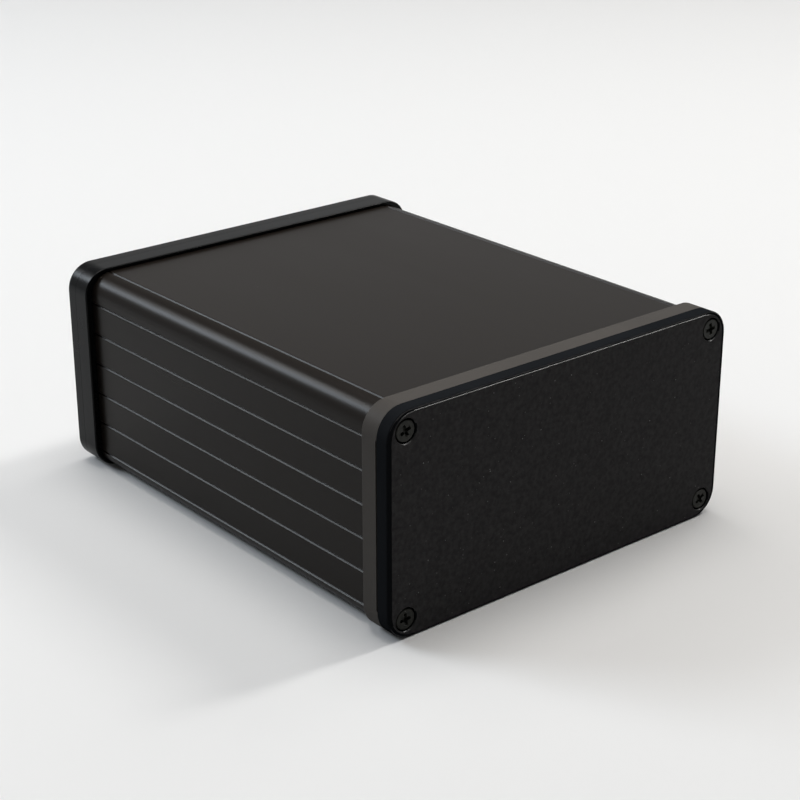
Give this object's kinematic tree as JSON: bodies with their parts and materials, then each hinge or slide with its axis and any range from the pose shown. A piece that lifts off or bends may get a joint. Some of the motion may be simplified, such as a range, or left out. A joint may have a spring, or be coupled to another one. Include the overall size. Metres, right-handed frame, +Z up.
{
  "type": "extruded aluminium enclosure",
  "caption": "Black instrument enclosure: a grooved aluminium extrusion with a sliding belly plate, closed by moulded bezels and screwed end panels.",
  "frame": {"origin": "on the surface that the enclosure stands on, below its middle", "axes": "+X across the width, +Y along the extrusion away from the front end, +Z up"},
  "size_m": [0.103, 0.126, 0.053],
  "materials": {
    "body": "black anodised, satin",
    "bezel": "fine moulded texture",
    "panel": "satin, very fine texture",
    "screw": "black oxide"
  },
  "bodies": {
    "root": {"body_extrusion": "body", "belly_plate": "body", "front_bezel": "bezel", "rear_bezel": "bezel", "front_end_panel": "panel", "rear_end_panel": "panel", "front_screw_upper_left": "screw", "front_screw_upper_right": "screw", "front_screw_lower_left": "screw", "front_screw_lower_right": "screw", "rear_screw_upper_left": "screw", "rear_screw_upper_right": "screw", "rear_screw_lower_left": "screw", "rear_screw_lower_right": "screw"}
  },
  "joints": []
}
